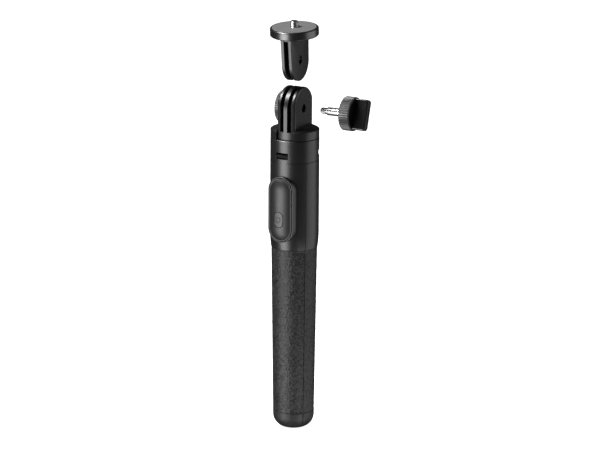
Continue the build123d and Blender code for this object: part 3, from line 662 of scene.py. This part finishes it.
cheekSettings = {"inner": 1.72, "outer": 4.5, "hole": 3.8, "halfDepth": 15.0, "top": 19.6, "drop": 1.2,
                 "edge": 0.45, "edgeSteps": 6, "holeEdge": 0.2, "holeReach": 4.0, "narrow": 0.975,
                 "widen": 0.05, "turns": 160}
plateSettings = {"depth": 1.6, "lowEdge": 0.2, "highEdge": 0.05, "acrossShare": 0.995, "deepShare": 0.99}
bushSettings = {"inner": 3.3, "outer": 3.72, "edge": 0.15, "turns": 64}


def cheekOutline(angle):
    # The distance from the pin line to a cheek's outline: the nearest of the flat sides and the flat top,
    # and below them a circle whose centre is a little under the pin.
    s = cheekSettings
    c, n = np.cos(angle), np.sin(angle)
    least, far = 1e-6, 1e3
    side = s["halfDepth"] / np.maximum(np.abs(c), least)
    top = np.where(n > least, s["top"] / np.maximum(n, least), far)
    flat = np.minimum(side, top)
    circle = -s["drop"] * n + np.sqrt(s["halfDepth"] ** 2 - (s["drop"] * c) ** 2)
    return np.where(n * flat > -s["drop"], flat, circle)


def cheekGrids():
    # Each cheek is a closed band round its pin hole: across the band it runs over one face, a rounded
    # edge and the other face. It widens a little towards the top, away from the hole.
    s = cheekSettings
    corner = np.arctan2(s["top"], s["halfDepth"])
    angle = np.unique(np.append(np.linspace(0, 2 * pi, s["turns"], endpoint=False), [corner, pi - corner]))
    bend = np.linspace(0, pi / 2, s["edgeSteps"])
    width = s["outer"] - s["inner"]
    inset = s["edge"] * (1 - np.sin(bend))
    below = s["edge"] * (1 - np.cos(bend))
    depth = np.concatenate([[s["holeEdge"], 0], below, (width - below)[::-1], [width, width - s["holeEdge"]]])
    middle = cheekOutline(angle)[:, None] - np.concatenate([inset, inset[::-1]])
    hole = np.full((len(angle), 1), s["hole"])
    face = hole + s["holeEdge"]
    rows = np.concatenate([hole, face, middle, face, hole], 1)
    deep, up = rows * np.cos(angle)[:, None], rows * np.sin(angle)[:, None]
    widen = s["narrow"] - 1 + s["widen"] * np.clip(up / s["top"], 0, 1)
    deep = deep * (1 + widen * np.clip((rows - s["hole"] - s["holeEdge"]) / s["holeReach"], 0, 1))
    return [onAdapter(np.broadcast_to(hand * (s["inner"] + depth), rows.shape), deep, up) for hand in (1, -1)]


def plateGrid():
    # The plate that joins the cheeks under the disc: a rounded rectangle that closes at its middle, below
    # and above.
    s, p = cheekSettings, plateSettings
    x, y = s["outer"], s["halfDepth"]
    loop = softCorners([(-x, -y), (x, -y), (x, y), (-x, y)], s["edge"], True)
    spread = np.array([0, 1, 1, 1, 1, 0])
    rise = np.array([0, 0, p["lowEdge"], p["depth"] - p["highEdge"], p["depth"], p["depth"]])
    across = loop[:, None, 0] * spread * p["acrossShare"]
    deep = loop[:, None, 1] * spread * p["deepShare"]
    return onAdapter(across, deep, np.broadcast_to(s["top"] - p["depth"] + rise, across.shape))


def addFork():
    # Both cheeks and the plate in one mesh: the cheeks are closed both ways, the plate closes at its
    # middle.
    parts = [meshFromGrid([grid], True, True) for grid in cheekGrids()]
    parts.append(meshFromGrid([plateGrid()], True, False))
    addMesh("adapterFork", *joinMeshes(parts), "satinAbs", "adapter", ["adapter_fork"], "abs_satin")


def addBushes():
    # The lining of each cheek's pin hole: a short tube with softened edges, in black anodised aluminium
    # rather than steel, so that its dark colour paints shade into the holes.
    s = bushSettings
    inner, outer = cheekSettings["inner"], cheekSettings["outer"]
    grids = []
    for low, high in ((inner, outer), (-outer, -inner)):
        corners = [(low, s["inner"]), (low, s["outer"]), (high, s["outer"]), (high, s["inner"])]
        grids.append(turned(corners, s["edge"], adapterPin, axisX, axisY, axisZ, turns=s["turns"]))
    addPiece("adapterBushes", grids, "blackAnodised", "adapter_carrier", ["adapter_bushes"], "steel")


addDisc()
addPad()
addFork()
addBushes()
print("stage: adapter")

cradleSettings = {"halfWidth": 11.3, "halfHeight": 26.25, "back": 14.6, "floor": 15.9, "front": 20.7,
                  "wall": 0.9, "floorEdge": 0.2, "mouthEdge": 0.3, "lipEdge": 0.48, "backEdge": 0.2,
                  "endSteps": 49}
buttonSettings = {"halfWidth": 4.05, "halfHeight": 6.1, "corner": 3.4, "cornerSteps": 13, "back": 20.9,
                  "flange": 0.6, "flangeDepth": 0.5, "crown": 23.82, "crownRadius": 17.65, "edge": 0.5,
                  "edgeFall": 0.35, "edgeRows": 10, "faceRows": 40, "ring": 1.9, "ringHeight": 0.16,
                  "ringWidth": 0.22}
remoteOut = np.array([cos(radians(legAngles["front"])), sin(radians(legAngles["front"])), 0])
remoteAcross = np.cross(axisZ, remoteOut)
cradleLow, cradleHigh = nodeBox("remote_cradle")
remoteHeight = (cradleLow[2] + cradleHigh[2]) / 2
buttonLow, buttonHigh = nodeBox("shutter_button")
buttonHeight = (buttonLow[2] + buttonHigh[2]) / 2


def onRemote(across, up, out, height):
    # Local places in millimetres: across and up as seen from the front, out from the pole's axis.
    level = across[..., None] * remoteAcross + out[..., None] * remoteOut
    return mm * level + (height + mm * up[..., None]) * axisZ


def addCradle():
    # A profile of (inset, distance out) carried round an upright pill; at an inset of the half width it
    # closes on the pill's middle line.
    s = cradleSettings
    middle, wall = s["halfWidth"], s["wall"]
    corners = [(middle, s["floor"]), (wall, s["floor"]), (wall, s["front"]), (0, s["front"]), (0, s["back"]),
               (middle, s["back"])]
    profile = softCorners(corners, [0, s["floorEdge"], s["mouthEdge"], s["lipEdge"], s["backEdge"], 0])
    angle = np.concatenate([np.linspace(0, pi, s["endSteps"]), np.linspace(pi, 2 * pi, s["endSteps"])])
    straight = (s["halfHeight"] - s["halfWidth"]) * np.repeat([1, -1], s["endSteps"])
    reach = s["halfWidth"] - profile[:, 0]
    across = np.cos(angle)[:, None] * reach
    up = np.sin(angle)[:, None] * reach + straight[:, None]
    out = np.broadcast_to(profile[:, 1], across.shape)
    grid = onRemote(across, up, out, remoteHeight)
    addPiece("remoteCradle", [grid], "satinAbs", "leg_front", ["remote_cradle"], "abs_satin", closeV=False)


def buttonOutline():
    # A rectangle with round corners: four quarter circles, each about its own centre.
    s = buttonSettings
    x, y = s["halfWidth"] - s["corner"], s["halfHeight"] - s["corner"]
    bend = np.linspace(0, pi / 2, s["cornerSteps"])
    arcs = []
    for quarter, centre in enumerate([(x, y), (-x, y), (-x, -y), (x, -y)]):
        angle = bend + quarter * pi / 2
        arcs.append(np.array(centre) + s["corner"] * np.stack([np.cos(angle), np.sin(angle)], 1))
    return np.vstack(arcs)


def addButton():
    # The outline shrinks to its middle. The face is a cylinder's crown, falls away at its rim by a
    # quarter circle and carries one raised ring, a bell curve of the distance from it. Behind the face,
    # the skirt steps out to a flange and closes at the back.
    s = buttonSettings
    outline = buttonOutline()
    edge = s["edge"] / s["halfWidth"]
    edgeScale = 1 - edge * np.linspace(0, 1, s["edgeRows"])[:-1] ** 2
    scale = np.concatenate([edgeScale, np.linspace(1 - edge, 0, s["faceRows"])])
    x, y = outline[:, None, 0] * scale, outline[:, None, 1] * scale
    rim = np.clip((scale - 1 + edge) / edge, 0, 1)
    fall = s["edgeFall"] * (1 - np.sqrt(1 - rim**2))
    crown = s["crown"] - s["crownRadius"] + np.sqrt(s["crownRadius"] ** 2 - x**2)
    mark = s["ringHeight"] * np.exp(-(((np.hypot(x, y) - s["ring"]) / s["ringWidth"]) ** 2))
    wide, tall = 1 + s["flange"] / s["halfWidth"], 1 + s["flange"] / s["halfHeight"]
    skirtX = outline[:, None, 0] * np.array([0, wide, wide, 1])
    skirtY = outline[:, None, 1] * np.array([0, tall, tall, 1])
    skirtOut = np.broadcast_to(s["back"] + s["flangeDepth"] * np.array([0, 0, 1, 1]), skirtX.shape)
    across = np.concatenate([skirtX, x], 1)
    up = np.concatenate([skirtY, y], 1)
    out = np.concatenate([skirtOut, crown - fall + mark], 1)
    grid = onRemote(across, up, out, buttonHeight)
    addPiece("shutterButton", [grid], "buttonPlastic", "shutter", ["shutter_button"], "abs_remote",
             closeV=False)


addCradle()
addButton()
print("stage: remote")

gripSettings = {"seam": 0.2, "inner": 14.2, "edge": 0.3, "edgeSteps": 5, "columns": 104, "crowding": 0.8,
                "rows": 330, "pebble": 2.0, "crease": 0.8, "lowestPebble": 0.55, "relief": 0.36,
                "sideFade": 1.2, "endMargin": 0.3, "endFade": 1.0, "seed": 11}
footSettings = {"corner": 10.5, "cornerSteps": 24, "bore": 2.2, "seam": 0.2, "edge": 0.25, "slope": 0.0133,
                "wallRows": 10, "wallInset": 0.01, "topEdge": 0.1, "columns": 72, "crowding": 0.9}
legHalf = radians(60)  # half of one leg's share of the turn


def nodeRadius(node, height):
    # The largest distance from the pole's axis of a node's corners within half a millimetre of a height.
    mesh = cadNodes[node].data
    places = np.zeros(len(mesh.vertices) * 3, np.float32)
    mesh.vertices.foreach_get("co", places)
    places = places.reshape(-1, 3)
    near = np.abs(places[:, 2] - height) < 0.5 * mm
    return float(np.hypot(places[near, 0], places[near, 1]).max()) / mm


def crowded(count, share):
    # Places from -1 to 1 that crowd towards both ends: the sine of an angle that runs evenly over a share
    # of half a turn, divided by its largest value.
    return np.sin(np.linspace(-1, 1, count) * pi / 2 * share) / sin(pi / 2 * share)


def edgeDrop(room, edge):
    # How far a rounded edge stands back at a distance from the side: a quarter circle, and nothing beyond
    # it.
    return edge * (1 - np.sqrt(1 - np.clip(1 - room / edge, 0, 1) ** 2))


def aroundPole(radius, turn, height):
    # Points at a radius and a turn about the pole's axis, with one height for each row, in millimetres.
    upward = np.broadcast_to(height[:, None], radius.shape)
    return mm * np.stack([radius * np.cos(turn), radius * np.sin(turn), upward], -1)


def pebbles(across, up, seed):
    # Pressed leather: each point's distances to the nearest and second nearest of jittered centres, one
    # in each square of a grid. The gap between the two is small in the creases and large on a pebble; the
    # relief is twice the gap less its square, times a height drawn for each pebble.
    s = gripSettings
    border, spare = 2, 6  # squares left before the first pebble, and in all
    generator = np.random.default_rng(seed)
    u, v = across / s["pebble"], up / s["pebble"]
    columns, rows = int(np.ceil(u.max() - u.min())) + spare, int(np.ceil(v.max() - v.min())) + spare
    jitter = generator.random((rows, columns, 2))
    height = generator.random((rows, columns))
    u, v = u - u.min() + border, v - v.min() + border
    cellU, cellV = np.floor(u).astype(int), np.floor(v).astype(int)
    steps = np.array([(i, j) for i in (-1, 0, 1) for j in (-1, 0, 1)])
    nearU, nearV = cellU[..., None] + steps[:, 0], cellV[..., None] + steps[:, 1]
    centre = jitter[nearV, nearU]
    gap = np.hypot(nearU + centre[..., 0] - u[..., None], nearV + centre[..., 1] - v[..., None])
    order = np.argsort(gap, axis=-1)
    ranked = np.take_along_axis(gap, order, -1)
    own = np.take_along_axis(height[nearV, nearU], order, -1)[..., 0]
    crease = np.clip((ranked[..., 1] - ranked[..., 0]) / s["crease"], 0, 1)
    return crease * (2 - crease) * (s["lowestPebble"] + (1 - s["lowestPebble"]) * own)


def addGrip(name, seed):
    # A third of a cone, whose radius runs straight from the foot to the top. Each loop runs over the
    # outer face, rounded at its long edges, and back along the inner face; both ends are rounded and
    # closed. The pebbles fade out towards every edge.
    s = gripSettings
    node = f"leg_{name}_grip"
    low, high = nodeBox(node)[0][2] / mm, nodeBox(node)[1][2] / mm
    lowRadius, highRadius = nodeRadius(node, low * mm), nodeRadius(node, high * mm)
    bend = np.linspace(0, pi / 2, s["edgeSteps"] + 1)[:-1]
    rise, inset = s["edge"] * (1 - np.cos(bend)), s["edge"] * (1 - np.sin(bend))
    middle = np.linspace(low + s["edge"], high - s["edge"], s["rows"])
    height = np.concatenate([[low], low + rise, middle, (high - rise)[::-1], [high]])
    inset = np.concatenate([[0], inset, np.zeros(s["rows"]), inset[::-1], [0]])
    closed = np.concatenate([[0], np.ones(len(height) - 2), [0]])
    radius = lowRadius + (highRadius - lowRadius) * (height - low) / (high - low)
    reach = ((legHalf - np.arcsin(s["seam"] / radius)) * radius)[:, None]
    along = crowded(s["columns"], s["crowding"]) * reach
    room = reach - np.abs(along)
    upward = np.broadcast_to(height[:, None], along.shape)
    endRoom = np.minimum(upward - low, high - upward) - s["endMargin"]
    fade = np.clip(room / s["sideFade"], 0, 1) * np.clip(endRoom / s["endFade"], 0, 1)
    relief = s["relief"] * (pebbles(along, upward, seed) - 1) * fade
    outer = (radius - inset)[:, None] - edgeDrop(room, s["edge"]) + relief
    outer = s["inner"] + (outer - s["inner"]) * closed[:, None]
    inner = np.full_like(outer, s["inner"])
    across = along / radius[:, None]
    turn = radians(legAngles[name]) + np.concatenate([across, across[:, ::-1]], 1)
    grid = aroundPole(np.concatenate([outer, inner], 1), turn, height)
    addPiece(f"grip.{name}", [grid], "leatherette", f"leg_{name}", [node], "grip_leather",
             closeU=False, sharp=60)


def addFoot(name):
    # A third of a domed foot: its outline rises from the flat end round a quarter circle to the grip.
    # Each loop runs over the outer face, rounded at its long edges, and back along the bore.
    s = footSettings
    node = f"leg_{name}_foot"
    top = nodeBox(node)[1][2] / mm
    topRadius = nodeRadius(node, top * mm)
    wallRadius = topRadius - s["slope"] * (top - s["corner"])
    bend = np.linspace(0, pi / 2, s["cornerSteps"])
    rise = s["corner"] * (1 - np.cos(bend))
    wall = np.linspace(s["corner"], top - s["edge"], s["wallRows"])[1:]
    height = np.concatenate([[0], rise, wall, [top - s["topEdge"], top, top]])
    dome = wallRadius - s["corner"] * (1 - np.sin(bend))
    straight = np.linspace(wallRadius, topRadius, s["wallRows"])[1:] - s["wallInset"]
    rim = [topRadius - s["topEdge"], topRadius - s["edge"], s["bore"]]
    outline = np.concatenate([[s["bore"]], dome, straight, rim])
    places = crowded(s["columns"], s["crowding"])
    reach = ((legHalf - np.arcsin(s["seam"] / outline)) * outline)[:, None]
    along = places * reach
    outside = (outline > s["bore"])[:, None]
    outer = outline[:, None] - edgeDrop(reach - np.abs(along), s["edge"]) * outside
    inner = np.full_like(outer, s["bore"])
    boreTurn = places[::-1] * (legHalf - np.arcsin(s["seam"] / s["bore"]))
    across = np.concatenate([along / outline[:, None], np.broadcast_to(boreTurn, along.shape)], 1)
    grid = aroundPole(np.concatenate([outer, inner], 1), radians(legAngles[name]) + across, height)
    addPiece(f"foot.{name}", [grid], "footRubber", f"leg_{name}", [node], "foot_rubber",
             closeU=False, sharp=50)


for index, name in enumerate(legNames):
    addGrip(name, gripSettings["seed"] + index)
    addFoot(name)
print("stage: legs")
